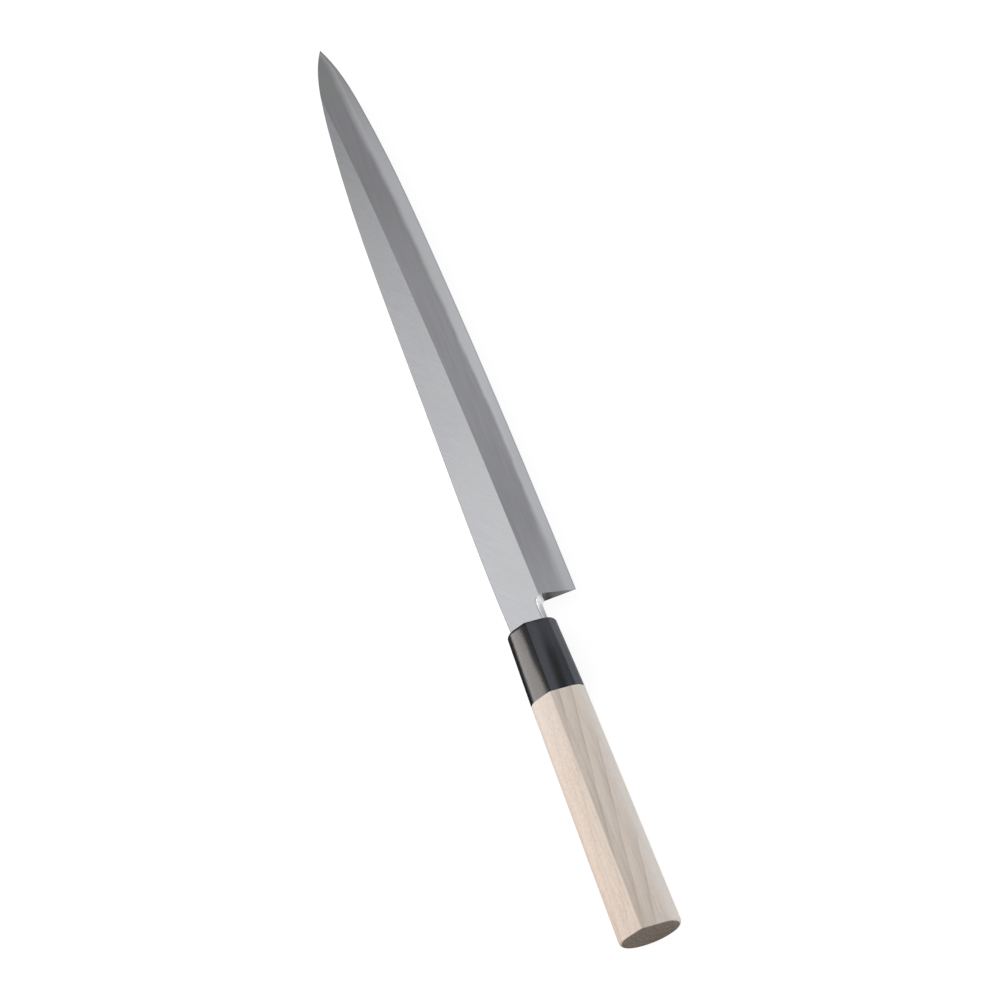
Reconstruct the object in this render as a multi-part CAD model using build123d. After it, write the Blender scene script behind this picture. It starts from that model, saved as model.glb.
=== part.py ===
from build123d import *
import os
from math import cos, radians, sin, sqrt

# Single-bevelled slicing knife with a D-shaped wooden handle.
# X runs from the butt of the handle to the point, Y from the cutting edge to the spine,
# and Z from the hollow back of the blade to its bevelled front. All sizes are in millimetres.
# The origin is the centre of the butt face, on the axis of the handle.

# Handle: its length, and half its height at three stations
handle_length = 148.0
ferrule_length = 34.3
butt_half_height = 14.05
joint_half_height = 12.37
mouth_half_height = 11.25
butt_rounding = 0.9
mouth_rounding = 1.6

# Handle section, as shares of the half height at any station
ridge_rise_share = 0.896
ridge_shift_share = 0.069
back_depth_share = 0.785
facet_slope = 24.4

# Tenon on the front of the grip, and the horn's bore around it
tenon_half_height = 8.5
tenon_half_depth = 6.9
tenon_lift = 0.6
tenon_recess = 0.6
glue_gap = 0.1

# Blade: how far it reaches out of the handle, and its steel
point_reach = 301.0
heel_reach = 8.7
shoulder_gap = 1.2
neck_thickness = 4.1
point_thickness = 1.23
hard_layer_at_neck = 0.78
hard_layer_at_point = 0.5
hard_layer_reach = 4.5

# Blade outline, measured from the handle's axis
heel_depth = 24.0
point_drop = 5.94
spine_height = 9.2
ridge_line_depth = 8.7
ridge_line_rise = 12.5

# Neck and the notch behind the heel, on the back of the blade and on its front
neck_depth = 7.9
neck_front_rise_at_mouth = 1.1
neck_front_rise_at_heel = 2.1
heel_slope = 1.1
heel_lean = 2.8
notch_radius_back = 1.8
notch_radius_front = 4.0

# Tang inside the handle
tang_length = 112.0
tang_height = 13.6
tang_thickness = 3.5
tang_end_height = 6.0
tang_end_thickness = 2.4
tang_rise = 0.6
bore_end_room = 3.0

# Resin seal in the mouth of the tang slot
seal_depth = 1.5
seal_height = 14.6
seal_width = 4.8
seal_corner = 2.0
seal_top_gap = 0.1

# Hollow ground into the back
hollow_depth = 0.35
hollow_rim = 1.8

# One overrun serves every cut
overrun = 6.0

# Shares of the edge's length, from the heel to the point and a little past both
edge_along_shares = (-0.05, 0.168, 0.414, 0.616, 0.770, 0.875, 0.946, 1.0, 1.03)
edge_rise_shares = (-0.008, 0.034, 0.121, 0.238, 0.375, 0.543, 0.724, 1.0, 1.24)
ridge_line_rise_shares = (-0.019, 0.066, 0.206, 0.397, 0.574, 0.745, 0.872, 1.0, 1.07)
spine_along_shares = (-0.06, 0.03, 0.316, 0.567, 0.721, 0.842, 0.928, 0.973, 1.0, 1.012)
spine_drop_shares = (0.055, 0.0, 0.029, 0.082, 0.164, 0.323, 0.533, 0.755, 1.0, 1.15)

# Stations of the hollow: place along the edge, share of its width, share of its depth
hollow_station_shares = (
    (0.018, 0.86, 0.12),
    (0.06, 0.97, 0.7),
    (0.35, 1.0, 1.0),
    (0.68, 1.0, 0.9),
    (0.88, 0.97, 0.6),
    (0.965, 0.7, 0.15),
)

# Places worked out from the sizes above
joint_x = handle_length - ferrule_length
heel_x = handle_length + heel_reach
point_x = handle_length + point_reach
shoulder_x = handle_length + shoulder_gap
edge_length = point_x - heel_x
back_z = -neck_thickness / 2
bevel_levels = (-0.25, 1.6)
notch_levels = (-0.5, 1.5)


def thickness_at(x):
    """Thickness of the blade at the spine, which falls evenly from the neck to the point."""
    fall = (x - shoulder_x) / (point_x - shoulder_x)
    return neck_thickness + (point_thickness - neck_thickness) * fall


def shared_spline(points, shares):
    """A smooth curve whose parameter runs with the shares of the edge's length."""
    first = shares[0]
    span = shares[-1] - first
    return Edge.make_spline(points, parameters=[(share - first) / span for share in shares])


def height_on(curve, x):
    """Height above the axis where a curve of the outline passes a station."""
    crossing = curve.intersect(Plane.YZ.offset(x))
    return crossing.vertices()[0].Y


def station_x(share):
    return heel_x + share * edge_length


def edge_height(rise_share):
    return -heel_depth + rise_share * (heel_depth - point_drop)


def ridge_line_height(rise_share):
    return -ridge_line_depth + rise_share * ridge_line_rise


def bevel_curve(level):
    """Curve on the bevel's surface: level 0 is the cutting edge and 1 the ridge line."""
    points = []
    for along, edge_rise, ridge_rise in zip(edge_along_shares, edge_rise_shares, ridge_line_rise_shares):
        x = station_x(along)
        low = edge_height(edge_rise)
        high = ridge_line_height(ridge_rise)
        points.append((x, low + level * (high - low), back_z + level * thickness_at(x)))
    return shared_spline(points, edge_along_shares)


def spine_curve():
    drop = spine_height + point_drop
    pairs = zip(spine_along_shares, spine_drop_shares)
    points = [(station_x(along), spine_height - fall * drop, back_z) for along, fall in pairs]
    return shared_spline(points, spine_along_shares)


def closed_below(curve, low_y):
    """Closed wire of a curve and three straight lines that reach down to low_y."""
    start = curve @ 0
    end = curve @ 1
    corner_a = Vector(end.X, low_y, end.Z)
    corner_b = Vector(start.X, low_y, start.Z)
    lines = [Edge.make_line(end, corner_a), Edge.make_line(corner_a, corner_b), Edge.make_line(corner_b, start)]
    return Wire([curve] + lines)


def notch_wire(level):
    """Outline of the notch behind the heel, from level 0 on the back to 1 on the front."""
    lean = heel_lean * level
    radius = notch_radius_back + level * (notch_radius_front - notch_radius_back)
    heel_y = -neck_depth + level * neck_front_rise_at_heel
    mouth_y = -neck_depth + level * neck_front_rise_at_mouth
    z = back_z + level * neck_thickness
    low_y = -heel_depth - overrun
    slope = heel_slope / (heel_depth - neck_depth)
    foot = (heel_x + lean - slope * overrun, low_y, z)
    corner = (heel_x + lean + slope * (heel_depth + heel_y), heel_y, z)
    run_back = (heel_y - mouth_y) / (heel_x + heel_lean - handle_length)
    tail_x = handle_length - overrun
    tail = (tail_x, mouth_y - run_back * overrun, z)
    return FilletPolyline(foot, corner, tail, (tail_x, low_y, z), radius=[0, radius, 0, 0], close=True)


def notch_cutter():
    low, high = (notch_wire(level) for level in notch_levels)
    return Solid.make_loft([Wire(low.edges()), Wire(high.edges())], ruled=True)


def bevel_cutter():
    low_y = -heel_depth - 2 * overrun
    wires = [closed_below(bevel_curve(level), low_y) for level in bevel_levels]
    return Solid.make_loft(wires, ruled=True)


def hollow_section(share, width_share, depth_share):
    """Shallow arc across the back at one station.

    Its chord lies as far under the back as its crown stands above it, so that the arc
    crosses the back where the width asks for it, at one over the root of two of its own.
    """
    x = station_x(share)
    low = height_on(bevel_curve(0), x) + hollow_rim
    high = height_on(spine_curve(), x) - hollow_rim
    middle = (low + high) / 2
    depth = hollow_depth * depth_share
    half = (high - low) / 2 * width_share * sqrt(2)
    left = Vector(x, middle - half, back_z - depth)
    right = Vector(x, middle + half, back_z - depth)
    arc = Edge.make_three_point_arc(left, Vector(x, middle, back_z + depth), right)
    return Wire([arc, Edge.make_line(right, left)])


def hollow_cutter():
    return Solid.make_loft([hollow_section(*station) for station in hollow_station_shares])


def blade_plate():
    """Tapered plate under the spine, from the shoulder to past the point."""
    far_x = point_x + overrun
    side = Polyline(
        (shoulder_x, back_z),
        (far_x, back_z),
        (far_x, back_z + thickness_at(far_x)),
        (shoulder_x, back_z + neck_thickness),
        close=True,
    )
    slab = extrude(Plane.XZ * make_face(side.edges()), heel_depth + overrun, both=True)
    outline = Face(closed_below(spine_curve(), -heel_depth - overrun))
    under_spine = extrude(outline, neck_thickness + overrun, dir=(0, 0, 1))
    return slab & Pos(0, 0, -overrun / 2) * under_spine


def blade_steel():
    """The whole ground blade without its tang, before it is parted into its two steels."""
    return blade_plate() - bevel_cutter() - notch_cutter() - hollow_cutter()


def layer_space():
    """Space of the hard layer: everything close to the back, ahead of the neck."""
    near_x = handle_length + hard_layer_reach
    far_x = point_x + overrun
    thinning = (hard_layer_at_neck - hard_layer_at_point) / (point_x - near_x)
    side = Polyline(
        (near_x, back_z - overrun),
        (far_x, back_z - overrun),
        (far_x, back_z + hard_layer_at_point - thinning * overrun),
        (near_x, back_z + hard_layer_at_neck),
        close=True,
    )
    return extrude(Plane.XZ * make_face(side.edges()), heel_depth + overrun, both=True)


def tang_section(x, height, thickness):
    plane = Plane(origin=(x, tang_rise, 0), x_dir=(0, 1, 0), z_dir=(1, 0, 0))
    return plane * Rectangle(height, thickness)


def tang(end_room=0):
    """Tapered tang, with some room past its end when it is used to cut its bore."""
    end_x = shoulder_x - tang_length
    root = tang_section(shoulder_x, tang_height, tang_thickness)
    end = tang_section(end_x, tang_end_height, tang_end_thickness)
    body = loft([end, root], ruled=True)
    if end_room:
        body += extrude(end, -end_room)
    return body


def handle_section(x, half_height):
    """D-shaped section: an oval back, and two facets that meet at a ridge on the front."""
    rise = half_height * ridge_rise_share
    shift = half_height * ridge_shift_share
    slope = radians(facet_slope)
    ridge = (shift, rise)
    ends = {}
    arcs = []
    for side in (1, -1):
        reach = half_height - side * shift
        radius = (rise * cos(slope) - reach * sin(slope)) / (1 - sin(slope))
        centre = half_height - radius
        foot = (side * (centre + radius * sin(slope)), radius * cos(slope))
        middle = radians(90 - facet_slope) / 2
        through = (side * (centre + radius * cos(middle)), radius * sin(middle))
        arcs.append(ThreePointArc((side * half_height, 0), through, foot))
        ends[side] = foot
    facets = [Line(ends[1], ridge), Line(ridge, ends[-1])]
    depth = half_height * back_depth_share
    back = EllipticalCenterArc((0, 0), half_height, depth, start_angle=180, arc_size=180)
    face = make_face([*arcs, *facets, back])
    return Plane(origin=(x, 0, 0), x_dir=(0, 1, 0), z_dir=(1, 0, 0)) * face


def tenon_section(x, clearance):
    plane = Plane(origin=(x, 0, tenon_lift), x_dir=(0, 1, 0), z_dir=(1, 0, 0))
    return plane * Ellipse(tenon_half_height + clearance, tenon_half_depth + clearance)


def ferrule():
    """Horn collar with a rounded mouth, bored for the tenon."""
    sections = [handle_section(joint_x, joint_half_height), handle_section(handle_length, mouth_half_height)]
    collar = loft(sections, ruled=True)
    mouth = collar.edges().filter_by_position(Axis.X, handle_length, handle_length)
    collar = fillet(mouth, mouth_rounding)
    return collar - extrude(tenon_section(joint_x, glue_gap), ferrule_length)


def seal_block(start_x, length):
    plane = Plane(origin=(start_x, tang_rise, 0), x_dir=(0, 1, 0), z_dir=(1, 0, 0))
    return extrude(plane * RectangleRounded(seal_height, seal_width, seal_corner), length)


def handle():
    """Wooden grip with a rounded butt, its tenon, the bore for the tang and the seal's pocket."""
    sections = [handle_section(0, butt_half_height), handle_section(joint_x, joint_half_height)]
    grip = loft(sections, ruled=True)
    butt = grip.edges().filter_by_position(Axis.X, 0, 0)
    grip = fillet(butt, butt_rounding)
    tenon_length = ferrule_length - tenon_recess
    grip += extrude(tenon_section(joint_x, 0), tenon_length)
    pocket = seal_block(joint_x + tenon_length - seal_depth, seal_depth)
    return grip - tang(bore_end_room) - pocket


def tang_seal():
    """Resin that fills the pocket round the tang, almost level with the horn's mouth."""
    start_x = handle_length - tenon_recess - seal_depth
    block = seal_block(start_x, seal_depth + tenon_recess - seal_top_gap)
    return block - tang()


def build():
    steel = blade_steel()
    layer = layer_space()
    return {
        "blade_body": steel - layer + tang(),
        "edge_steel": steel & layer,
        "ferrule": ferrule(),
        "handle": handle(),
        "tang_seal": tang_seal(),
    }


os.makedirs("parts", exist_ok=True)
for node, shape in build().items():
    export_step(shape, f"parts/{node}.step")
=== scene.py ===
# %% [markdown]
# # A single-bevelled slicing knife
# The knife is a long iron blade with a hard steel face forged on its back, a collar of polished
# black horn, and a D-shaped grip of bare pale wood. The CAD model gives every size. This lesson
# starts from it and adds what a photograph shows and a drawing doesn't: softened edges, grinding
# marks, the hazy line where the two steels meet, the depth of the horn and the grain of the wood.

import math

import bmesh
import bpy
from mathutils import Matrix, Vector


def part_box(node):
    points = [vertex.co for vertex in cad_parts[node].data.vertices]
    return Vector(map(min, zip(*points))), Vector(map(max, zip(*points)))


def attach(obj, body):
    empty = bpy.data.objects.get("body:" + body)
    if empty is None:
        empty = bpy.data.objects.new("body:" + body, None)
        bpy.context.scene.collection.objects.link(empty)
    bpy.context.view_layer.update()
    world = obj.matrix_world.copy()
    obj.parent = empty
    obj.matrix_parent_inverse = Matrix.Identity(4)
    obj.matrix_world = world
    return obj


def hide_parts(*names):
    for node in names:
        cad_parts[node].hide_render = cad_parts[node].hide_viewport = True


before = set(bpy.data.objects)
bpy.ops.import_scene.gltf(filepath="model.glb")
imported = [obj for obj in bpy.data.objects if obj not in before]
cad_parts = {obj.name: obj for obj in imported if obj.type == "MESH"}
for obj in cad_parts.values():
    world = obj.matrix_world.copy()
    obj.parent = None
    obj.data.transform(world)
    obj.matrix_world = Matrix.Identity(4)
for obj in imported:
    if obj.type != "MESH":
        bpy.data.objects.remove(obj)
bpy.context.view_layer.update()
MM = 0.001
print("CAD nodes:", ", ".join(sorted(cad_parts)))

# %% [markdown]
# ## The camera
# The knife was photographed from above with a long lens, so near and far parts keep almost the same
# scale. A camera could be placed by eye, but its angles, its distance and the point that it looks
# at were worked out from the outline of the knife, and the lens from the distance. Here they are
# given as numbers.

# %% Camera
turn_to_butt = math.radians(23.2278)
turn_to_edge = math.radians(7.9762)
roll = math.radians(21.4387)
camera_distance = 2115.1 * MM
aim = Vector((208.6558, -7.7157, 0)) * MM
sensor_mm = 36
lens_mm = 175.27

towards = Vector(
    (
        -math.sin(turn_to_butt),
        -math.cos(turn_to_butt) * math.sin(turn_to_edge),
        math.cos(turn_to_butt) * math.cos(turn_to_edge),
    )
)
blade_up = (Vector((1, 0, 0)) - towards * towards.x).normalized()
blade_right = blade_up.cross(towards)
up = math.cos(roll) * blade_up + math.sin(roll) * blade_right
right = math.cos(roll) * blade_right - math.sin(roll) * blade_up

camera_data = bpy.data.cameras.new("camera")
camera_data.sensor_width = sensor_mm
camera_data.lens = lens_mm
camera_data.clip_start = 0.05
camera_data.clip_end = 50
camera = bpy.data.objects.new("camera", camera_data)
bpy.context.scene.collection.objects.link(camera)
camera.matrix_world = Matrix.Translation(aim + towards * camera_distance) @ Matrix(
    (right, up, towards)
).transposed().to_4x4()
bpy.context.scene.camera = camera
print("camera at", [round(v, 3) for v in camera.matrix_world.translation])

# %% [markdown]
# ## Shader maths as plain expressions
# A finish is a tree of small nodes. Wiring each by hand hides the idea behind it, so one class
# wraps an output of a node and lets Python's own signs add the Math nodes.


# %% Signals
class Signal:
    """One output of a node, that numbers and other signals can be added to or multiplied with."""

    def __init__(self, nodes, socket):
        self.nodes = nodes
        self.socket = socket

    def __add__(self, other):
        return self.nodes.math("ADD", self, other)

    def __radd__(self, other):
        return self.nodes.math("ADD", other, self)

    def __sub__(self, other):
        return self.nodes.math("SUBTRACT", self, other)

    def __rsub__(self, other):
        return self.nodes.math("SUBTRACT", other, self)

    def __mul__(self, other):
        return self.nodes.math("MULTIPLY", self, other)

    def __rmul__(self, other):
        return self.nodes.math("MULTIPLY", other, self)

    def __truediv__(self, other):
        return self.nodes.math("DIVIDE", self, other)

    def __rtruediv__(self, other):
        return self.nodes.math("DIVIDE", other, self)

    def __abs__(self):
        return self.nodes.math("ABSOLUTE", self)

    def root(self):
        return self.nodes.math("SQRT", self)

    def above(self, start, full):
        """0 below start and 1 above full, with a soft step between them."""
        values = {"Value": self, "From Min": start, "From Max": full}
        return self.nodes.node("MapRange", {"interpolation_type": "SMOOTHSTEP"}, values)


# %% [markdown]
# Every node comes from one method, which takes the node's type, its settings, and the values or
# signals of its inputs. The settings come first, because some of them change which inputs there
# are. The room round the knife and every finish are made with it.


# %% Trees of nodes
def as_value(socket, value):
    """A colour of three numbers gets the fourth that a colour socket asks for."""
    if isinstance(value, tuple) and len(value) == 3 and socket.type == "RGBA":
        return (*value, 1)
    return value


class Nodes:
    """A tree of nodes in the making, that starts empty."""

    def __init__(self, tree):
        self.tree = tree
        tree.nodes.clear()

    def node(self, kind, settings=None, values=None, out=0):
        """Adds a node, sets it, fills its inputs with values or signals, and returns an output."""
        made = self.tree.nodes.new("ShaderNode" + kind)
        for name, value in (settings or {}).items():
            if name == "stops":
                for element, (position, colour) in zip(made.color_ramp.elements, value):
                    element.position, element.color = position, (*colour, 1)
            else:
                setattr(made, name, value)
        by_name = {socket.identifier: socket for socket in made.inputs}
        by_name.update({socket.name: socket for socket in made.inputs if socket.enabled})
        for name, value in (values or {}).items():
            socket = made.inputs[name] if isinstance(name, int) else by_name[name]
            if isinstance(value, Signal):
                self.tree.links.new(value.socket, socket)
            else:
                socket.default_value = as_value(socket, value)
        if not made.outputs:
            return None
        if isinstance(out, int):
            return Signal(self, [socket for socket in made.outputs if socket.enabled][out])
        return Signal(self, made.outputs[out])

    def math(self, operation, *values):
        """A sum of one or more values or signals, which fill the node's inputs in order."""
        return self.node("Math", {"operation": operation}, dict(enumerate(values)))

    def mix(self, share, low, high):
        """A colour that goes from low to high as share goes from 0 to 1."""
        settings = {"data_type": "RGBA", "clamp_factor": True}
        return self.node("Mix", settings, {"Factor_Float": share, "A_Color": low, "B_Color": high})


# %% [markdown]
# A finish adds what all the materials here share: the place on the object in millimetres, noise
# stretched along the knife, bump of a real depth, and a Principled shader at the end.


# %% Finishes
class Finish(Nodes):
    """A material in the making. Its shader is a Principled BSDF that shine() sets up."""

    def __init__(self, name):
        self.material = bpy.data.materials.new(name)
        self.material.use_nodes = True
        super().__init__(self.material.node_tree)
        place = self.node("TexCoord", out="Object")
        self.place = self.node("VectorMath", {"operation": "SCALE"}, {0: place, "Scale": 1 / MM})
        axes = [self.node("SeparateXYZ", None, {0: self.place}, out=axis) for axis in "XYZ"]
        self.x, self.y, self.z = axes

    def shade(self, colour, amount):
        """The colour times a signal."""
        return self.node("VectorMath", {"operation": "SCALE"}, {0: colour, "Scale": amount})

    def stretched(self, x, y, z, turn=0):
        """The place in millimetres, turned about Z and scaled, for a pattern longer one way."""
        turned = self.place
        if turn:
            values = {"Vector": self.place, "Angle": math.radians(turn)}
            turned = self.node("VectorRotate", {"rotation_type": "Z_AXIS"}, values)
        return self.node("VectorMath", {"operation": "MULTIPLY"}, {0: turned, 1: (x, y, z)})

    def noise(self, vector, detail=2, roughness=0.5, scale=1):
        values = {"Vector": vector, "Scale": scale, "Detail": detail, "Roughness": roughness}
        return self.node("TexNoise", None, values)

    def bump(self, height, depth_mm, strength=1):
        values = {"Height": height, "Distance": depth_mm * MM, "Strength": strength}
        return self.node("Bump", None, values, out="Normal")

    def shine(self, **values):
        values = {name.replace("_", " "): value for name, value in values.items()}
        shader = self.node("BsdfPrincipled", None, values)
        self.node("OutputMaterial", None, {"Surface": shader})
        print("finish", self.material.name, "has", len(self.tree.nodes), "nodes")
        return self.material


# %% [markdown]
# ## The studio
# Polished steel and horn show what stands round them, so each lamp here has a place where it is
# mirrored. A broad panel over the knife is seen in the flat and in the bevel. A tall one far off on
# the side of the spine is seen in the long facet of the horn; close by it would light one end of
# the knife more than the other. A broad dim one behind the spine adds light to the wood, and three
# on the butt's and the edge's side fill the shadows and show in the front of the horn. One large
# lamp would be simpler, but its mirror image can't be moved on one piece alone.

# %% Lamps
centre = Vector((225, -3, 0)) * MM
warm_white, cool_white = (1, 0.92, 0.87), (0.97, 0.99, 1)


def panel(name, direction, distance, width, height, radiance, colour=(1, 1, 1)):
    """A soft panel that faces the middle of the knife; its width lies along the knife."""
    direction = Vector(direction).normalized()
    data = bpy.data.lights.new(name, "AREA")
    data.shape = "RECTANGLE"
    data.size, data.size_y = width, height
    data.energy = radiance * math.pi * width * height
    data.color = colour
    lamp = bpy.data.objects.new(name, data)
    along = (Vector((1, 0, 0)) - direction * direction.x).normalized()
    turn = Matrix((along, direction.cross(along), direction)).transposed()
    lamp.matrix_world = Matrix.Translation(centre + direction * distance) @ turn.to_4x4()
    bpy.context.scene.collection.objects.link(lamp)
    print(name, "gives", round(data.energy, 1), "W from", distance, "m")


panel("panel_above", (0.15, 0.20, 0.97), 1.3, 1.05, 0.75, 0.62)
panel("panel_spine_side", (0.424, 0.825, 0.375), 4.0, 1.05, 3.1, 4.9, warm_white)
panel("panel_behind_spine", (-0.25, 0.90, 0.42), 1.6, 3.2, 1.3, 1.05, warm_white)
panel("panel_butt_side", (-0.50, -0.75, 0.42), 1.3, 1.0, 0.8, 1.0, (0.98, 0.98, 1))
panel("panel_edge_side", (0.20, -0.42, 0.885), 1.35, 1.0, 0.55, 0.40, cool_white)
panel("panel_low_edge_side", (-0.05, -0.975, 0.21), 1.2, 1.8, 0.5, 1.3, (0.92, 0.97, 1))

# %% [markdown]
# The room round the knife is brighter above than near the ground, as a studio with a pale ceiling
# is. That keeps the low reflections in the horn dark. Only the camera sees a white wall: Light Path
# tells a camera ray from the rays that light the knife, so the white adds no light.

# %% Room
near_ground, under_ceiling = (0.18, 0.185, 0.195), (0.325, 0.33, 0.335)
world = bpy.data.worlds.new("room")
bpy.context.scene.world = world
world.use_nodes = True
room = Nodes(world.node_tree)
upward = room.node("SeparateXYZ", None, {0: room.node("TexCoord", out="Generated")}, out="Z")
stops = [(0.05, near_ground), (0.75, under_ceiling)]
wall = room.node("ValToRGB", {"stops": stops}, {"Fac": upward})
wall = room.mix(room.node("LightPath", out="Is Camera Ray"), wall, (1, 1, 1))
room.node("OutputWorld", None, {"Surface": room.node("Background", None, {"Color": wall})})
bpy.context.scene.view_settings.view_transform = "Standard"
print("the room has", len(room.tree.nodes), "nodes")

# %% [markdown]
# The ground is a pale floor that the handle lies on. The camera sees it lifted to white by its own
# material. Steel and horn would mirror that white everywhere, which the real knife doesn't do close
# to the paper, where its own shadow lies, so the floor they mirror is dark near the knife and
# turns white farther off.

# %% Floor
floor_size = 30
seen_glow, close_glow, far_glow = 0.86, 0.65, 0.35
plain_paper, seen_paper, mirrored_paper = (0.75, 0.75, 0.75), (0.3, 0.3, 0.3), (0.06, 0.06, 0.06)
handle_low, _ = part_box("handle")
bpy.ops.object.select_all(action="DESELECT")
bpy.ops.mesh.primitive_plane_add(size=floor_size, location=(0, 0, handle_low.z))
floor = bpy.context.object
floor.name = "floor"
paper = Finish("white ground")
looked_at = paper.node("LightPath", out="Is Camera Ray")
in_gloss = paper.node("LightPath", out="Is Glossy Ray")
through_glass = paper.node("LightPath", out="Is Transmission Ray")
mirrored = in_gloss + through_glass
off_edge = 0 - paper.y
beside = paper.y.above(100, 240)
beside = beside + off_edge.above(9, 20) * close_glow + off_edge.above(25, 60) * far_glow
strength = looked_at * seen_glow + mirrored * beside
glow = paper.node("Emission", None, {"Color": (1, 1, 1), "Strength": strength})
tone = paper.mix(looked_at, plain_paper, seen_paper)
tone = paper.mix(mirrored, tone, mirrored_paper)
ground = paper.node("BsdfDiffuse", None, {"Color": tone})
both = paper.node("AddShader", None, {0: glow, 1: ground})
paper.node("OutputMaterial", None, {"Surface": both})
floor.data.materials.append(paper.material)
print("the floor lies at", round(handle_low.z / MM, 2), "mm")

# %% [markdown]
# ## Working on a mesh as by hand
# Every new piece below is drawn, extruded, resized and bridged with Blender's own tools. They act
# on whatever is picked, so picking comes first: by place, in millimetres, through a short test.


# %% Picking
def start_clean():
    if bpy.context.object and bpy.context.object.mode != "OBJECT":
        bpy.ops.object.mode_set(mode="OBJECT")
    bpy.ops.object.select_all(action="DESELECT")


def take(piece):
    """Picks one object and makes it the one in hand."""
    start_clean()
    piece.select_set(True)
    bpy.context.view_layer.objects.active = piece


def pick(kind, test):
    """Picks the vertices or edges of the mesh in hand whose ends, in mm, all pass the test."""
    bpy.ops.mesh.select_mode(type={"verts": "VERT", "edges": "EDGE"}[kind])
    bpy.ops.mesh.select_all(action="DESELECT")
    mesh = bmesh.from_edit_mesh(bpy.context.object.data)
    picked = 0
    for part in getattr(mesh, kind):
        places = [part.co] if kind == "verts" else [v.co for v in part.verts]
        if all(test(*(place / MM)) for place in places):
            part.select_set(True)
            picked += 1
    mesh.select_flush_mode()
    bmesh.update_edit_mesh(bpy.context.object.data)
    return picked


def near(value, target, room=0.002):
    return abs(value - target) < room


# %% [markdown]
# The long shapes all grow the same way: the picked loop is extruded along the knife and resized
# about the axis of the handle. A finished piece is cleaned, its faces are turned outwards, and it
# is shaded smooth except where two faces meet at more than a given angle.


# %% Growing and finishing a piece
def carry_on(distance, scale_y=1, scale_z=1):
    """Extrudes the picked loop along X and resizes it about the axis of the handle."""
    bpy.ops.mesh.extrude_region_move(TRANSFORM_OT_translate={"value": (distance * MM, 0, 0)})
    bpy.ops.transform.resize(value=(1, scale_y, scale_z), center_override=(0, 0, 0))


def finish_piece(piece, node, material, angle=30):
    """Cleans the mesh, shades it, and lets it stand for its CAD node."""
    piece.name = node + "_form"
    take(piece)
    bpy.ops.object.mode_set(mode="EDIT")
    bpy.ops.mesh.select_all(action="SELECT")
    bpy.ops.mesh.remove_doubles(threshold=0.001 * MM)
    bpy.ops.mesh.normals_make_consistent(inside=False)
    bpy.ops.object.mode_set(mode="OBJECT")
    bpy.ops.object.shade_smooth_by_angle(angle=math.radians(angle))
    if material:
        piece.data.materials.clear()
        piece.data.materials.append(material)
    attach(piece, "root")
    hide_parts(node)
    start_clean()
    print(piece.name, "has", len(piece.data.polygons), "faces")


# %% [markdown]
# ## The D of the handle
# Seen from its end the handle is a D: half an oval behind, and in front two flats that meet at a
# ridge a little on the side of the spine, with a round corner at each end. It could be cut from
# a cylinder, but the loop itself is drawn here. Half a circle is flattened for the back, the
# corners are spun, the flats are extruded, and the ridge is spun with the small radius that
# sanding leaves.

# %% The D as one loop of edges
joint_x, mouth_x = 113.7, 148.0
butt_half, joint_half, mouth_half = 14.05, 12.37, 11.25
ridge_rise, ridge_shift, back_depth = 0.896, 0.069, 0.785
facet_slope = math.radians(24.4)
wood_softness, horn_softness = 0.5, 0.25
circle_points, corner_steps, ridge_steps = 96, 14, 4


def spin_about(y, z, angle, steps):
    """Spins the picked vertex about an axis along X and returns where it came to, in mm."""
    bpy.ops.mesh.spin(steps=steps, angle=angle, center=(0, y * MM, z * MM), axis=(1, 0, 0))
    mesh = bmesh.from_edit_mesh(bpy.context.object.data)
    return [v.co / MM for v in mesh.verts if v.select][0]


def draw_back(half):
    """Draws the back of the D, half of a flattened circle in the plane x = 0."""
    start_clean()
    bpy.ops.mesh.primitive_circle_add(
        vertices=circle_points, radius=half * MM, rotation=(0, math.pi / 2, 0)
    )
    bpy.ops.object.transform_apply(rotation=True)
    bpy.ops.object.mode_set(mode="EDIT")
    pick("verts", lambda x, y, z: z > 0.01)
    bpy.ops.mesh.delete(type="VERT")
    bpy.ops.mesh.select_all(action="SELECT")
    bpy.ops.transform.resize(value=(1, 1, back_depth), center_override=(0, 0, 0))


def draw_d(half, softness):
    """Draws the whole D in a new mesh that stays in edit mode."""
    draw_back(half)
    rise, shift = half * ridge_rise, half * ridge_shift
    sine, cosine = math.sin(facet_slope), math.cos(facet_slope)
    feet = {}
    for side in (1, -1):
        reach = half - side * shift
        radius = (rise * cosine - reach * sine) / (1 - sine)
        pick("verts", lambda x, y, z: near(y, side * half) and near(z, 0))
        turn = math.pi / 2 - facet_slope
        feet[side] = spin_about(side * (half - radius), 0, -side * turn, corner_steps)
    soft = softness * math.tan(facet_slope)
    for side in (1, -1):
        start = Vector((0, shift + side * soft * cosine, rise - soft * sine))
        step = start - feet[side]
        pick("verts", lambda x, y, z: near(y, feet[side].y) and near(z, feet[side].z))
        bpy.ops.mesh.extrude_vertices_move(TRANSFORM_OT_translate={"value": step * MM})
    spin_about(shift, rise - softness / cosine, 2 * facet_slope, ridge_steps)
    bpy.ops.mesh.select_all(action="SELECT")
    bpy.ops.mesh.remove_doubles(threshold=0.004 * MM)
    points = len(bmesh.from_edit_mesh(bpy.context.object.data).verts)
    print("a D of", points, "points,", round(2 * half, 2), "mm high")
    return bpy.context.object


# %% [markdown]
# ## The wood
# The grip is magnolia, a soft pale wood that is only sanded. Its rings are cut by both flats and by
# the end of the grip, so the grain is worked out in space, as the distance from a leaning heart
# line, and not painted on each face: on the edge side the rings come out as long pointed arches,
# and on the spine side as fine straight lines.

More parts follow.
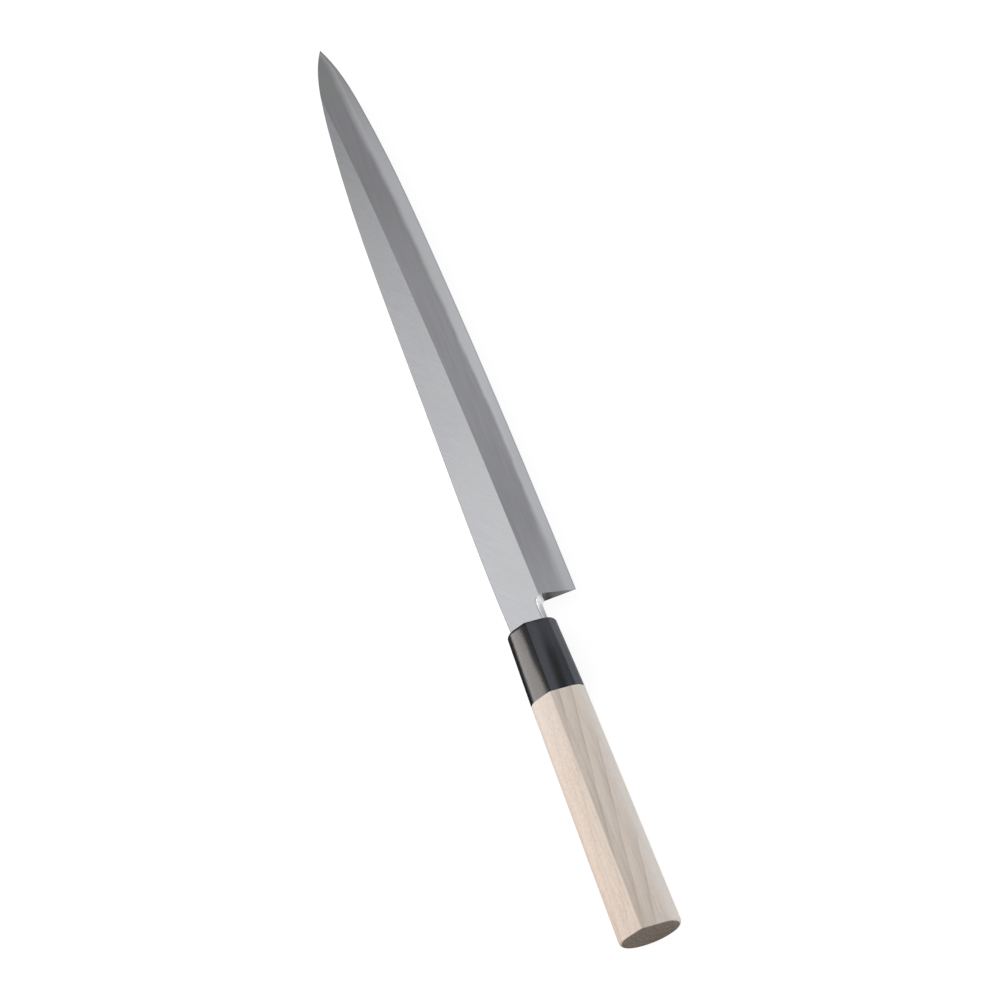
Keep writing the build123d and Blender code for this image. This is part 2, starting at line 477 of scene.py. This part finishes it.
# %% Rings of the wood
ring_width, first_ring, ring_lean = 5.2, 0.23, 0.12
heart_cosine, heart_sine, heart_y, heart_z = 0.911, 0.413, 7.0, 8.7
drift_width, ripple_width = 2.6, 0.7


def rings_of(wood):
    """Where a place lies between two rings: 0 just past a late ring and 1 just before the next."""
    drift = wood.noise(wood.stretched(0.014, 0.06, 0.06), detail=2)
    ripple = wood.noise(wood.stretched(0.045, 0.4, 0.4), detail=2)
    across = wood.y * heart_cosine + wood.z * heart_sine + heart_y
    deep = wood.z * heart_cosine - wood.y * heart_sine - heart_z
    from_heart = (across * across + deep * deep).root() + wood.x * ring_lean
    from_heart = from_heart + (drift - 0.5) * drift_width + (ripple - 0.5) * ripple_width
    years = from_heart / ring_width - first_ring
    return wood.math("FRACT", years)


def ring_marks(wood):
    """The dark line of each ring, and how brown the late wood beside it is."""
    year = rings_of(wood)
    line = year.above(0.0, 0.04) * (1 - year.above(0.05, 0.16))
    late = line * 0.4 + (1 - year.above(0.06, 0.75)) * 0.55
    quiet = 1 - (wood.y - wood.x * 0.004).above(-2.5, 2.5) * 0.7
    quiet = quiet * (0.35 + wood.y.above(-13, -10) * 0.65)
    return line, late * quiet


# %% [markdown]
# The colour comes in layers, from broad to fine: the rings, which are clearest on the edge side,
# with streaks and fibres along the grip, then a warmer cloud here and there, painted light on
# the edge-side corner and before the collar, painted shade towards the butt and along the
# spine-side corner, and rust-brown pores. A picture wrapped round the grip would break at every
# edge, while these layers run through it.


# %% Colour of the long sides
pale_wood, brown_wood, warm_wood = (0.905, 0.80, 0.71), (0.56, 0.465, 0.39), (0.86, 0.70, 0.56)
lit_wood, pore_and_shade_brown = (0.93, 0.85, 0.78), (0.56, 0.37, 0.27)


def side_colour(wood, late, fibre, pores):
    """The colour of the flats and the back, with painted light and shade, before the finest flecks.
    """
    clear = wood.noise(wood.stretched(0.02, 0.12, 0.12), detail=1).above(0.35, 0.65)
    streak = wood.noise(wood.stretched(0.012, 0.7, 0.7), detail=3)
    on_ridge = wood.y.above(-2.8, -1.8) * (1 - wood.y.above(0.5, 1.2))
    # Painted shade: the sides grow darker towards the butt, where the lamps give less light.
    painted_shade_near_butt = 1 - wood.x.above(4, 28)
    tone = late * (0.4 + clear * 0.3) + (streak - 0.42) * 0.5 + (fibre - 0.5) * 1.25
    tone = tone + 0.02 + on_ridge * 0.25 + painted_shade_near_butt * 0.14
    colour = wood.mix(tone, pale_wood, brown_wood)

    warm = wood.noise(wood.stretched(0.03, 0.3, 0.3), detail=2).above(0.35, 0.65)
    colour = wood.mix(warm * 0.22, colour, warm_wood)
    # Painted light on the edge-side corner and on the spine side before the collar.
    painted_light_by_edge = (1 - wood.y.above(-13, -7)) * (0.5 + streak * 0.7)
    painted_light_by_collar = wood.y.above(0, 3) * wood.x.above(70, 112) * 0.6
    colour = wood.mix(painted_light_by_edge + painted_light_by_collar, colour, lit_wood)
    # Rust-brown pores, and the same brown painted as shade along the spine-side corner.
    brown_pores_and_shade = pores * (0.22 + wood.y.above(8.5, 11.5) * 0.2) + wood.y.above(9.5, 13) * 0.2
    return wood.mix(brown_pores_and_shade, colour, pore_and_shade_brown)


# %% [markdown]
# Two layers are left. Fine flecks show most on the spine side, and the sawn end of the butt is
# dark, with the ends of the fibres as dots. The bump has the same fibres, pores and rings as the
# colour, because on real wood one cause makes both.

# %% Finish of the wood
butt_wood, dark_end_wood = (0.39, 0.325, 0.268), (0.105, 0.08, 0.06)


def make_wood():
    wood = Finish("sanded magnolia")
    line, late = ring_marks(wood)
    fibre = wood.noise(wood.stretched(0.07, 2.2, 2.2), detail=4, roughness=0.7)
    pores = wood.noise(wood.stretched(0.4, 3.4, 3.4), detail=1).above(0.60, 0.72)
    colour = side_colour(wood, late, fibre, pores)
    fleck = wood.noise(wood.stretched(0.75, 2.6, 2.6), detail=3, roughness=0.6)
    colour = wood.shade(colour, 1 + (fleck - 0.5) * (0.08 + wood.y.above(0.5, 3) * 0.46))

    end_grain = 1 - wood.x.above(0.05, 0.28)
    end_dots = wood.noise(wood.stretched(0.3, 1.1, 1.1), detail=4, roughness=0.75)
    end_colour = wood.mix(end_dots.above(0.3, 0.68) + line * 0.3, butt_wood, dark_end_wood)
    colour = wood.mix(end_grain * 0.92, colour, end_colour)
    height = fibre * 0.7 - pores * 0.6 - line * 0.3 - end_grain * end_dots
    grain_bump = wood.bump(height, 0.05, 0.5)
    return wood.shine(Base_Color=colour, Roughness=0.6 + fibre * 0.14, Normal=grain_bump)


# %% [markdown]
# ## The grip
# The grip is the D drawn out to the butt and a little larger there. Its end is eased with
# sandpaper, hardly at all on the two flats and more on the narrow sides, so the last loops shrink
# more in height than in depth, and the sides are then drawn back further.

# %% Body of the grip
butt_depth, butt_side, butt_flat = 0.5, 1.8, 0.4
side_depth, side_start = 1.7, 0.55
butt_steps = 6

grip = draw_d(joint_half, wood_softness)
bpy.ops.transform.translate(value=(joint_x * MM, 0, 0))
half_here = butt_half - (butt_half - joint_half) * side_depth / joint_x
carry_on(butt_depth - joint_x, half_here / joint_half, half_here / joint_half)
sink, side_y, side_z = 0, 1, 1
for step in range(1, butt_steps + 1):
    angle = math.radians(90 * step / butt_steps)
    next_sink = butt_depth * math.sin(angle)
    next_y = 1 - butt_side / half_here * (1 - math.cos(angle))
    next_z = 1 - butt_flat / half_here * (1 - math.cos(angle))
    carry_on(sink - next_sink, next_y / side_y, next_z / side_z)
    sink, side_y, side_z = next_sink, next_y, next_z
bpy.ops.mesh.edge_face_add()
mesh = bmesh.from_edit_mesh(grip.data)
for point in mesh.verts:
    if point.co.x < 1.01 * butt_depth * MM:
        side = max(0, abs(point.co.y) / (half_here * MM) - side_start) / (1 - side_start)
        point.co.x *= 1 + (side_depth / butt_depth - 1) * min(1, side) ** 2
bmesh.update_edit_mesh(grip.data)
print("the grip so far has", len(mesh.verts), "points")

# %% [markdown]
# On the other end the wood steps down to the oval tenon that the horn sits on, with a pocket in its
# end round the tang. The step is a bridge between the D and an oval loop. Each loop is picked by
# its own shape, with little room, because the two come close to each other.

# %% Tenon
tenon_half_y, tenon_half_z, tenon_lift, tenon_reach = 8.5, 6.9, 0.6, 33.7
pocket_wall, pocket_squeeze, pocket_depth = 1.5, 0.52, 1.5
oval_points = 64


def add_oval(x, half_y, half_z, lift):
    """Adds an oval loop to the mesh in hand and leaves it picked."""
    bpy.ops.mesh.select_all(action="DESELECT")
    bpy.ops.mesh.primitive_circle_add(
        vertices=oval_points, radius=MM, location=(x * MM, 0, 0), rotation=(0, math.pi / 2, 0)
    )
    bpy.ops.transform.resize(value=(1, half_y, half_z), center_override=(x * MM, 0, 0))
    bpy.ops.transform.translate(value=(0, 0, lift * MM))


def pick_oval(at_x, half_y, half_z, lift, room=0.001):
    """Picks the edges of an oval loop: its points are one oval's size away from its centre."""

    def on_oval(x, y, z):
        away = math.hypot(y / half_y, (z - lift) / half_z)
        return near(x, at_x) and near(away, 1, room)

    return pick("edges", on_oval)


def bridge_at(at_x):
    """Closes the gap between the two loops that lie in one plane across the knife."""
    pick("edges", lambda x, y, z: near(x, at_x))
    bpy.ops.mesh.bridge_edge_loops()


add_oval(joint_x, tenon_half_y, tenon_half_z, tenon_lift)
bridge_at(joint_x)
print("edges of the tenon:", pick_oval(joint_x, tenon_half_y, tenon_half_z, tenon_lift))
carry_on(tenon_reach)
bpy.ops.mesh.edge_face_add()
bpy.ops.mesh.inset(thickness=pocket_wall * MM, depth=0)
bpy.ops.transform.resize(value=(1, 1, pocket_squeeze), center_override=(0, 0, 0))
carry_on(-pocket_depth)
bpy.ops.object.mode_set(mode="OBJECT")
finish_piece(grip, "handle", make_wood())

# %% [markdown]
# ## The horn
# The collar is buffalo horn, black and polished, with a few paler threads deep inside. Black gloss
# shows little but reflections, so its shape matters more than its colour. A hand-polished facet
# isn't flat: it bows a little in the middle and rounds off towards its corners. That is too slight
# to model, so it goes into the height of the bump, measured from the ridge.


# %% Shape of the polished facets
bow_depth, bow_growth = 0.0168, 0.00003
facet_middle, middle_growth, bow_reach = 4.95, 0.055, 2.0
corner_width, corner_rise = 6, 0.022


def horn_crown(horn, along, half, from_ridge):
    """How far the polished surface stands off the flat facet, in mm."""
    off_ridge = abs(from_ridge)
    bow = bow_depth + along * bow_growth
    past_middle = off_ridge - facet_middle - along * middle_growth
    facet = horn.math("SMOOTH_MIN", past_middle, bow_reach, bow_reach)
    corner = horn.math("MAXIMUM", off_ridge - half + corner_width, 0)
    return corner * corner * corner_rise - facet * facet * horn.z.above(0, 2) * bow


# %% [markdown]
# Its colour is nearly black. On the front, light is painted in as a paler grey beside the ridge,
# towards the edge side and towards the mouth, and painted shade keeps the ridge between the two
# facets a dark line.


# %% Finish of the horn
horn_black, thread_grey = (0.008, 0.010, 0.013), (0.036, 0.040, 0.047)
painted_light_grey = (0.060, 0.064, 0.080)


def make_horn():
    horn = Finish("polished horn")
    along = horn.x - joint_x
    half = joint_half - along * ((joint_half - mouth_half) / (mouth_x - joint_x))
    from_ridge = half * ridge_shift - horn.y
    thread = horn.noise(horn.stretched(0.03, 0.9, 0.9), detail=4, roughness=0.6)
    cloud = horn.noise(horn.stretched(0.045, 0.2, 0.2), detail=2)
    shade = thread.above(0.45, 0.8) * 0.6 + cloud.above(0.4, 0.8) * 0.5
    colour = horn.mix(shade, horn_black, thread_grey)

    past_ridge = from_ridge.above(0.4, 0.65)
    # Painted light on the front: paler beside the ridge, towards the edge side and by the mouth.
    painted_light_on_front = past_ridge * 1.12 * (1 - from_ridge.above(2.2, 5.5)) + from_ridge.above(7, 10) * 0.75
    painted_light_on_front = painted_light_on_front + from_ridge.above(2, 5) * horn.x.above(128, 144) * 0.6
    colour = horn.mix(painted_light_on_front * (0.56 + cloud * 0.66), colour, painted_light_grey)
    # Painted shade: a dark line just on the spine side of the ridge.
    painted_shade_at_ridge = from_ridge.above(-0.9, -0.3) * (1 - past_ridge)
    colour = horn.shade(colour, 1 - painted_shade_at_ridge * 0.85)

    scratch = horn.noise(horn.stretched(0.25, 9, 9), detail=2)
    fleck = horn.noise(horn.place, scale=2.2, detail=1).above(0.68, 0.76)
    wave = horn.noise(horn.stretched(0.05, 0.16, 0.16), detail=1)
    height = horn_crown(horn, along, half, from_ridge) + wave * 0.12 + scratch * 0.004
    return horn.shine(
        Base_Color=colour,
        Roughness=0.17 + scratch * 0.09 + fleck * 0.1,
        Specular_IOR_Level=0.55,
        Normal=horn.bump(height, 1),
    )


# %% [markdown]
# ## The collar
# The same D, with a crisper ridge, is drawn out to the mouth and rolled over there in a quarter
# circle of loops. The mouth is bridged to the bore, and the bore is drawn back to the joint and
# bridged to the first loop, which closes the mesh.

# %% Collar
mouth_roll, mouth_shrink, roll_steps = 1.6, 0.04, 9
bore_half_y, bore_half_z = 8.6, 7.0

collar = draw_d(joint_half, horn_softness)
bpy.ops.transform.translate(value=(joint_x * MM, 0, 0))
roll_start = mouth_x - mouth_roll
half_there = joint_half + (mouth_half - joint_half) * (roll_start - joint_x) / (mouth_x - joint_x)
carry_on(roll_start - joint_x, half_there / joint_half, half_there / joint_half)
sink, size = 0, 1
for step in range(1, roll_steps + 1):
    angle = math.radians(90 * step / roll_steps)
    next_sink = mouth_roll * math.sin(angle)
    shrink = mouth_roll * (1 - math.cos(angle)) + mouth_shrink * step / roll_steps
    next_size = 1 - shrink / half_there
    carry_on(next_sink - sink, next_size / size, next_size / size)
    sink, size = next_sink, next_size
add_oval(mouth_x, bore_half_y, bore_half_z, tenon_lift)
bridge_at(mouth_x)
print("edges of the bore:", pick_oval(mouth_x, bore_half_y, bore_half_z, tenon_lift))
carry_on(joint_x - mouth_x)
bridge_at(joint_x)
finish_piece(collar, "ferrule", make_horn())

# %% [markdown]
# ## The blade
# The shape of the blade is already right in the CAD model, so each of its two steels will be a copy
# of its CAD node. Here come its finishes. The iron of the flat is brushed at a slant, and the bevel
# is honed along the edge on stones, which leaves the soft iron hazy and the hard steel bright.

# %% Brushed flat
shoulder_x, heel_x, point_x = 149.2, 156.7, 449.0
back_z, neck_thickness, point_thickness = -2.05, 4.1, 1.23
taper = (neck_thickness - point_thickness) / (point_x - shoulder_x)
brush_dark, brush_bright, flat_tint = (0.47, 0.47, 0.495), (0.78, 0.78, 0.81), (0.632, 0.634, 0.624)


def make_flat():
    """Soft iron above the ridge line, brushed at a slant, with a painted reflection that is a
    little darker by the neck and much darker towards the point.
    """
    flat = Finish("brushed flat")
    brush = flat.noise(flat.stretched(0.14, 1.7, 1, turn=-36), detail=4, roughness=0.65)
    lines = flat.noise(flat.stretched(0.06, 0.9, 1, turn=-40), detail=2)
    mist = flat.noise(flat.stretched(0.03, 0.06, 1), detail=3)
    grain = flat.noise(flat.place, scale=1.1, detail=3, roughness=0.7)
    marks = brush * 0.55 + lines * 0.2 + grain * 0.25
    colour = flat.mix(marks, brush_dark, brush_bright)
    tint = flat.noise(flat.stretched(0.05, 0.09, 1), detail=3).above(0.4, 0.6)
    colour = flat.mix(tint * 0.4, colour, flat_tint)
    # Painted reflection: a little darker by the neck, much darker towards the point.
    painted_reflection_falloff = 1.035 + flat.x.above(150, 190) * 0.015 - flat.x.above(190, 260) * 0.02
    painted_reflection_falloff = painted_reflection_falloff - flat.x.above(340, 430) * 0.14
    colour = flat.shade(colour, painted_reflection_falloff - 0.04 + mist * 0.08)
    return flat.shine(
        Base_Color=colour,
        Metallic=1.0,
        Roughness=0.25 + brush * 0.07,
        Normal=flat.bump(brush + lines * 0.5, 0.012, 0.3),
    )


# %% [markdown]
# The two steels meet on the bevel in a soft wavy line. It isn't drawn on a face: it is a height
# above the cutting edge that wanders along the blade. How far up the bevel a place is follows from
# its depth, because the blade is thickest at the ridge line and thins out to nothing at the edge.


# %% Where the two steels meet
def rise_in(finish):
    """How far up the bevel a place is: 0 at the cutting edge and 1 at the ridge line."""
    thick = neck_thickness - (finish.x - shoulder_x) * taper
    return (finish.z - back_z) / thick


def millimetres_up(bevel):
    """How far up the bevel a place is, in mm along its face."""
    width = 15.4 + (bevel.x - 168).above(0, 200) * 1.2 - (bevel.x - 340).above(0, 100) * 5.2
    return rise_in(bevel) * width


def weld_line(bevel):
    """The height of the line where hard steel and iron meet, in mm above the edge."""
    slow = bevel.noise(bevel.stretched(0.02, 0.02, 0.02), detail=2)
    quick = bevel.noise(bevel.stretched(0.11, 0.05, 0.05), detail=3)
    line = 2.7 + bevel.x.above(150, 235) * 1.3 + bevel.x.above(235, 385) * 1.2
    line = line - bevel.x.above(400, 449) * 2.4 + (slow - 0.5) * 1.6 + (quick - 0.5) * 1.1
    return line - bevel.x.above(310, 400) * 0.8


# %% [markdown]
# The iron above the line is streaked along the blade, with a faint green where the stone's mud
# stayed. The steel below is paler, with a milky rim just under the line, and the last half
# millimetre at the edge is painted darker as shade. Along the blade both steels carry a painted
# reflection, brighter in the middle and darker towards the point, and by the heel the iron gets
# painted light and the steel painted shade. Towards the point the two come closer in colour. One
# finish holds both steels, because the line between them is hazy and not the border of a face.


# %% Honed bevel
iron_dark, iron_bright = (0.385, 0.378, 0.405), (0.495, 0.488, 0.515)
steel_dark, steel_bright = (0.70, 0.70, 0.72), (0.80, 0.80, 0.82)
iron_green, point_green = (0.435, 0.447, 0.442), (0.40, 0.46, 0.40)
milky_rim, point_rose = (0.81, 0.86, 0.84), (0.66, 0.54, 0.60)


def make_bevel():
    """The ground bevel: hazy iron above, brighter steel below, and a soft line between,
    with painted reflection, painted light and painted shade.
    """
    bevel = Finish("honed bevel")
    from_edge = millimetres_up(bevel)
    inside = weld_line(bevel) - from_edge
    soft = 2.4 - bevel.x.above(156, 215) * 1.55 + bevel.x.above(260, 340) * 0.45
    steel = (inside / soft).above(-1.7, 0.45) * (1 - bevel.x.above(420, 446) * 0.55)
    strokes = bevel.noise(bevel.stretched(0.05, 3.2, 3.2), detail=4, roughness=0.6)
    streaks = bevel.noise(bevel.stretched(0.05, 0.9, 0.9), detail=3, roughness=0.6)
    haze = bevel.noise(bevel.stretched(0.025, 0.22, 0.22), detail=3)
    green = bevel.noise(bevel.stretched(0.035, 0.3, 0.3), detail=3).above(0.42, 0.62)
    marks = strokes * 0.2 + haze * 0.35 + streaks.above(0.3, 0.7) * 0.45

    iron = bevel.mix(marks, iron_dark, iron_bright)
    iron = bevel.mix(green * 0.45, iron, iron_green)
    # Painted reflection on the iron: brighter in the middle of the blade, darker towards the point.
    iron = bevel.shade(iron, 1 + bevel.x.above(200, 255) * 0.11 - bevel.x.above(315, 385) * 0.18)
    hard = bevel.mix(strokes, steel_dark, steel_bright)
    # Painted reflection on the hard steel: brighter in the middle, darker towards the point.
    hard = bevel.shade(hard, 0.95 + bevel.x.above(215, 290) * 0.20 - bevel.x.above(365, 430) * 0.2)
    colour = bevel.mix(steel, iron, hard)

    rim = inside.above(-0.2, 0.5) * (1 - inside.above(0.6, 1.5)) * bevel.x.above(200, 260)
    colour = bevel.mix(rim * (0.2 + haze * 0.6), colour, milky_rim)
    point = bevel.x.above(405, 440)
    colour = bevel.mix(point * steel * 0.3, colour, point_rose)
    colour = bevel.mix(point * (1 - steel) * green * 0.45, colour, point_green)
    # Painted light on the iron and painted shade on the steel by the heel.
    painted_light_and_shade_by_heel = 1 - bevel.x.above(156, 200)
    colour = bevel.shade(colour, 1 + painted_light_and_shade_by_heel * (0.16 - steel * 0.26))
    # Painted shade on the last half millimetre at the edge.
    colour = bevel.shade(colour, 0.78 + from_edge.above(0.2, 0.75) * 0.22)
    return bevel.shine(
        Base_Color=colour,
        Metallic=1.0,
        Roughness=0.40 - steel * 0.13 + strokes * 0.05,
        Normal=bevel.bump(strokes, 0.008, 0.3),
    )


# %% [markdown]
# Spine, heel, neck and notch are smoothed with fine paper, and the corners of spine and neck are
# broken on a stone. A corner mirrors its surroundings as a bright hair line if it has the finish of
# its neighbours. The real one stays dark, so it gets a finish of its own, painted dark as shade in
# place of that bright reflection.

# %% Smoothed steel and stoned corners
smooth_dark, smooth_bright = (0.76, 0.755, 0.755), (0.86, 0.855, 0.855)
neck_shade_grey = (0.55, 0.535, 0.56)
corner_shade_dark, corner_shade_bright = (0.22, 0.22, 0.225), (0.34, 0.34, 0.345)


def make_polish():
    """Spine, heel, neck and notch, smoothed with fine paper along their length."""
    polish = Finish("smoothed steel")
    strokes = polish.noise(polish.stretched(0.3, 0.6, 4), detail=3)
    colour = polish.mix(strokes, smooth_dark, smooth_bright)
    # Painted shade on the front face of the neck, mixed towards a darker grey.
    painted_shade_on_neck_front = (1 - polish.x.above(151, 156.5)) * (0 - polish.y).above(5, 6)
    colour = polish.mix(painted_shade_on_neck_front * 0.6, colour, neck_shade_grey)
    return polish.shine(Base_Color=colour, Metallic=1.0, Roughness=0.2 + strokes * 0.1)


def make_corner():
    """The narrow flat that a stone leaves on a corner, darker than the faces beside it
    by painted shade.
    """
    corner = Finish("stoned corner")
    strokes = corner.noise(corner.stretched(0.2, 1, 1), detail=3)
    colour = corner.mix(strokes, corner_shade_dark, corner_shade_bright)
    return corner.shine(Base_Color=colour, Metallic=1.0, Roughness=0.32 + strokes * 0.1)


# %% [markdown]
# The back is hollow-ground on a round stone, so that only its rim touches the flat stone when the
# knife is honed. The rim is a band of one height, so it is found by how high a place lies above the
# lowest plane, and it needs no face of its own.

# %% Hollow back
back_dark, back_bright, honed_rim = (0.55, 0.555, 0.56), (0.68, 0.685, 0.69), (0.72, 0.725, 0.73)


def make_back():
    """The hollow back, ground along its length, with a narrow bright rim where it is honed."""
    back = Finish("hollow back")
    strokes = back.noise(back.stretched(0.04, 2.4, 2.4), detail=4, roughness=0.6)
    rim = 1 - (back.z - back_z).above(0.002, 0.02)
    ground = back.mix(strokes, back_dark, back_bright)
    return back.shine(
        Base_Color=back.mix(rim, ground, honed_rim),
        Metallic=1.0,
        Roughness=0.27 + strokes * 0.08 - rim * 0.14,
        Normal=back.bump(strokes, 0.006, 0.3),
    )


# %% [markdown]
# The tang sits in the wood and is never ground, so it keeps the scale of the forge: nearly black,
# dull and cloudy.

# %% Forged tang
scale_dark, scale_bright = (0.05, 0.048, 0.046), (0.16, 0.15, 0.14)


def make_tang_iron():
    """The tang, black from the forge."""
    forged = Finish("forged tang")
    scale = forged.noise(forged.place, scale=0.6, detail=4)
    colour = forged.mix(scale, scale_dark, scale_bright)
    return forged.shine(Base_Color=colour, Metallic=0.6, Roughness=0.55 + scale * 0.2)


# %% [markdown]
# One mesh can carry several finishes, a number on each face saying which. The number follows from
# the way that the face looks and from where it lies. The flat looks straight up except for the
# taper of the blade, the bevel leans towards the edge, and what is left is smoothed steel.

# %% Which face gets which finish
level, forwards, backwards, lean, edgewards, slack = 0.99795, 0.9, -0.9, 0.02, -0.08, 0.5
FLAT, BEVEL, POLISH, BACK, TANG, CORNER = range(6)
makers = [make_flat, make_bevel, make_polish, make_back, make_tang_iron, make_corner]
finishes = [make() for make in makers]


def finish_for(normal, middle):
    """The finish of a face of the blade, from the way it looks and where it is in mm."""
    if middle.x < shoulder_x - slack:
        return TANG
    if normal.z < backwards:
        return BACK
    if normal.z > level and abs(normal.y) < lean:
        return FLAT
    if normal.z > forwards and normal.y < edgewards and middle.x > heel_x - slack:
        return BEVEL
    return POLISH


def give_finishes(piece):
    """Puts the finishes in the slots of the piece and numbers its faces."""
    piece.data.materials.clear()
    for finish in finishes:
        piece.data.materials.append(finish)
    counts = [0] * len(finishes)
    for face in piece.data.polygons:
        face.material_index = finish_for(face.normal, face.center / MM)
        counts[face.material_index] += 1
    print(piece.name, "faces by finish:", counts)


# %% [markdown]
# ## Eased corners
# What a copy can have and the CAD node can't is an eased corner. A stone drawn along the spine
# leaves a flat of a fifth of a millimetre, and the neck's front corner is rounded with a file
# right into the notch. The cutting edge and the heel stay sharp. The bevel tool works on the
# corners between a smoothed face and the flat or the back.

# %% Easing
corner_ease, notch_ease = 0.22, 0.7
corner_segments, notch_segments = 1, 4


def ease(piece, width, segments, finish, test):
    """Eases the corners of the smoothed faces whose ends, in mm, pass the test."""
    bpy.ops.mesh.select_mode(type="EDGE")
    bpy.ops.mesh.select_all(action="DESELECT")
    mesh = bmesh.from_edit_mesh(piece.data)
    picked = 0
    for edge in mesh.edges:
        kinds = {face.material_index for face in edge.link_faces}
        at_corner = POLISH in kinds and kinds & {FLAT, BACK}
        if at_corner and all(test(*(v.co / MM)) for v in edge.verts):
            edge.select_set(True)
            picked += 1
    bmesh.update_edit_mesh(piece.data)
    bpy.ops.mesh.bevel(
        offset=width * MM, segments=segments, profile=0.5, clamp_overlap=False, material=finish
    )
    print("eased", picked, "edges of", piece.name, "by", width, "mm")


# %% [markdown]
# Where a corner is eased is told by a place in millimetres. The tests begin just before the first
# edge of the neck, because an edge left out there would bend the large faces beside it. The seam
# between the two steels lies in one plane with the spine, so the iron's test leaves it out.

# %% Which corners
iron_from_x, steel_from_x, notch_to_x, spine_to_x = 149.1, 152.4, 159.2, 440
notch_from_y, spine_from_y = -7.5, -3
front_z, seam_z, rear_z = 1, -1, -2


def round_the_notch(x, y, z):
    return z > front_z and notch_from_y < y < 0 and iron_from_x < x < notch_to_x


def along_iron_spine(x, y, z):
    off_seam = z > seam_z or z < rear_z
    return off_seam and y > spine_from_y and iron_from_x < x < spine_to_x


def along_steel_spine(x, y, z):
    return z < rear_z and y > spine_from_y and steel_from_x < x < spine_to_x


# %% [markdown]
# Smooth shading blends the light over a corner, and on a long flat face beside a tiny one that
# shows as dull patches. Two things help: borders between finishes stay sharp, and the Weighted
# Normal modifier lets the large faces decide how the small ones are shaded.


# %% Shading of the steel
large_faces_weight = 90


def settle_shading(piece):
    """Keeps the borders between finishes sharp and lets large faces lead the shading."""
    mesh = bmesh.new()
    mesh.from_mesh(piece.data)
    sharp = 0
    for edge in mesh.edges:
        if len({face.material_index for face in edge.link_faces}) > 1:
            edge.smooth = False
            sharp += 1
    mesh.to_mesh(piece.data)
    mesh.free()
    take(piece)
    bpy.ops.object.modifier_add(type="WEIGHTED_NORMAL")
    piece.modifiers[0].keep_sharp = True
    piece.modifiers[0].weight = large_faces_weight
    bpy.ops.object.modifier_apply(modifier=piece.modifiers[0].name)
    start_clean()
    print(piece.name, "keeps", sharp, "sharp edges between finishes")


# %% [markdown]
# A CAD mesh is loose triangles, so the copy is merged first, and triangles of one plane and one
# finish are joined to faces that the bevel tool can follow. Drawing the blade again would be the
# other way, but the taper and the hollow of the back are exact in the CAD model already.


# %% The two steels
same_plane, steel_angle = math.radians(0.05), 35


def copy_node(node):
    """A copy of a CAD node with a mesh of its own, merged and picked."""
    start_clean()
    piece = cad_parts[node].copy()
    piece.data = piece.data.copy()
    piece.parent = None
    for name in list(piece.keys()):
        if name.startswith("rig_"):
            del piece[name]
    bpy.context.scene.collection.objects.link(piece)
    take(piece)
    bpy.ops.object.mode_set(mode="EDIT")
    bpy.ops.mesh.select_all(action="SELECT")
    bpy.ops.mesh.customdata_custom_splitnormals_clear()
    bpy.ops.mesh.remove_doubles(threshold=0.002 * MM)
    bpy.ops.object.mode_set(mode="OBJECT")
    return piece


def dress_steel(node):
    """A merged copy of a CAD node, with eased corners and a finish on each face."""
    piece = copy_node(node)
    give_finishes(piece)
    bpy.ops.object.mode_set(mode="EDIT")
    bpy.ops.mesh.select_all(action="SELECT")
    bpy.ops.mesh.dissolve_limited(angle_limit=same_plane, delimit={"MATERIAL"})
    if node == "blade_body":
        ease(piece, notch_ease, notch_segments, POLISH, round_the_notch)
        ease(piece, corner_ease, corner_segments, CORNER, along_iron_spine)
    else:
        ease(piece, corner_ease, corner_segments, CORNER, along_steel_spine)
    bpy.ops.object.mode_set(mode="OBJECT")
    finish_piece(piece, node, None, angle=steel_angle)
    settle_shading(piece)


dress_steel("blade_body")
dress_steel("edge_steel")

# %% [markdown]
# ## The seal
# The slot round the tang is filled with dark resin. The CAD node has its shape, so it keeps its
# place and only gets its finish.

# %% Seal
resin_dark, resin_light = (0.10, 0.055, 0.03), (0.2, 0.12, 0.07)


def make_resin():
    resin = Finish("set resin")
    cloud = resin.noise(resin.place, scale=0.5, detail=3)
    colour = resin.mix(cloud, resin_dark, resin_light)
    lumps = resin.bump(cloud, 0.1, 0.4)
    return resin.shine(Base_Color=colour, Roughness=0.4 + cloud * 0.2, Normal=lumps)


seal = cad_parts["tang_seal"]
seal.data.materials.clear()
seal.data.materials.append(make_resin())
